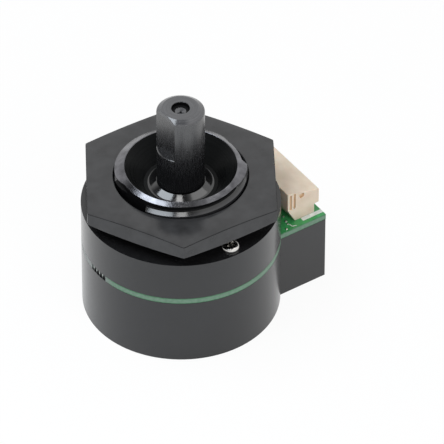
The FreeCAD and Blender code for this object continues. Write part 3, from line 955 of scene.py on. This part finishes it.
def build_floor():
    """Pale floor that keeps a soft shadow. Its mirror image in the object dims towards the front."""
    bm = bmesh.new()
    bmesh.ops.create_grid(bm, x_segments=floor_cells, y_segments=floor_cells, size=floor_reach * MM)
    mesh = bpy.data.meshes.new("floor")
    bm.to_mesh(mesh)
    bm.free()
    made = bpy.data.materials.new("floor_white")
    made.use_nodes = True
    tree = made.node_tree
    tree.nodes.remove(tree.nodes["Principled BSDF"])
    path = add_node(tree, "ShaderNodeLightPath").outputs
    mirrored = calc(tree, "MAXIMUM", path["Is Glossy Ray"], path["Is Transmission Ray"])
    forward = along(tree, object_place(tree), image_front)
    glow_there = map_range(tree, forward, floor_far_at, floor_near_at, floor_mirror_far, floor_mirror_near)
    share = calc(tree, "MULTIPLY", mirrored, glow_there)
    share = calc(tree, "MULTIPLY_ADD", path["Is Camera Ray"], floor_glow, share)
    paint = add_node(tree, "ShaderNodeBsdfDiffuse", {"Color": (floor_paint, floor_paint, floor_paint, 1)})
    glow = add_node(tree, "ShaderNodeEmission", {"Color": (1, 1, 1, 1), "Strength": 1.0})
    mixed = add_node(tree, "ShaderNodeMixShader", {0: share, 1: paint.outputs[0], 2: glow.outputs[0]})
    tree.links.new(mixed.outputs[0], tree.nodes["Material Output"].inputs["Surface"])
    mesh.materials.append(made)
    floor = bpy.data.objects.new("floor", mesh)
    floor.location.z = cad_low.z - floor_gap * MM
    scene.collection.objects.link(floor)


def build_world():
    """White tent with a dim opening: plain white where it is seen, dimmer where it lights the object."""
    world = bpy.data.worlds.new("tent")
    scene.world = world
    world.use_nodes = True
    tree = world.node_tree
    path = add_node(tree, "ShaderNodeLightPath").outputs
    seen = calc(tree, "MAXIMUM", path["Is Camera Ray"], path["Is Glossy Ray"])
    seen = calc(tree, "MAXIMUM", seen, path["Is Transmission Ray"])
    near = along(tree, add_node(tree, "ShaderNodeTexCoord").outputs["Generated"], opening_axis)
    tent = map_range(tree, near, opening_from, opening_to, 1.0, opening_glow)
    strength = add_node(tree, "ShaderNodeMix", {0: seen, 2: tent_fill, 3: tent}, data_type="FLOAT")
    back = tree.nodes["Background"]
    back.inputs["Color"].default_value = (1, 1, 1, 1)
    tree.links.new(strength.outputs[0], back.inputs["Strength"])


def add_softbox(name, towards, size, radiance, colour=pane_white, across=(1, 0), away=pane_away):
    """Soft rectangular lamp that looks at the object.

    The direction towards it and the direction of its width are given as shares of left and front.
    """
    left, front = towards
    back = image_left * left + image_front * front + upward * math.sqrt(1 - left * left - front * front)
    wide = image_left * across[0] + image_front * across[1]
    lamp = bpy.data.lights.new(name, "AREA")
    lamp.shape = "RECTANGLE"
    lamp.size = size[0] * MM
    lamp.size_y = size[1] * MM
    lamp.energy = radiance * math.pi * size[0] * size[1] * MM * MM
    lamp.color = colour
    holder = bpy.data.objects.new(name, lamp)
    side = (wide - back * back.dot(wide)).normalized()
    turn = Matrix((side, back.cross(side), back)).transposed()
    holder.location = back * away * MM
    holder.rotation_mode = "QUATERNION"
    holder.rotation_quaternion = turn.to_quaternion()
    scene.collection.objects.link(holder)
    return holder


def build_lamps():
    """Panes overhead, and fill from the right that glossy surfaces don't show."""
    add_softbox("pane_left", towards=(0.44, 0.1), size=(126, 280), radiance=6.0, colour=pane_cool,
                across=(1, 0.12))
    add_softbox("pane_middle", towards=(0.045, 0.05), size=(56, 50), radiance=6.0)
    add_softbox("pane_front", towards=(0.03, 0.47), size=(60, 36), radiance=6.0)
    add_softbox("pane_right", towards=(-0.46, -0.2), size=(180, 90), radiance=1.1, across=(-0.55, -0.83))
    fill = add_softbox("fill_right", towards=(-0.4, 0.72), size=(400, 400), radiance=2.9, away=fill_away)
    fill.visible_glossy = False


def build_camera():
    """Camera at the photograph's viewing angle."""
    data = bpy.data.cameras.new("camera")
    data.lens = camera_lens
    data.sensor_width = camera_sensor
    data.clip_end = camera_reach * MM
    data.shift_x = -half_pixel
    data.shift_y = half_pixel
    camera = bpy.data.objects.new("camera", data)
    camera.location = camera_at * MM
    camera.rotation_mode = "QUATERNION"
    facing = (camera_aim - camera_at).to_track_quat("-Z", "Y")
    camera.rotation_quaternion = facing @ Quaternion((0, 0, 1), math.radians(camera_roll_deg))
    scene.collection.objects.link(camera)
    scene.camera = camera


build_floor()
build_world()
build_lamps()
build_camera()
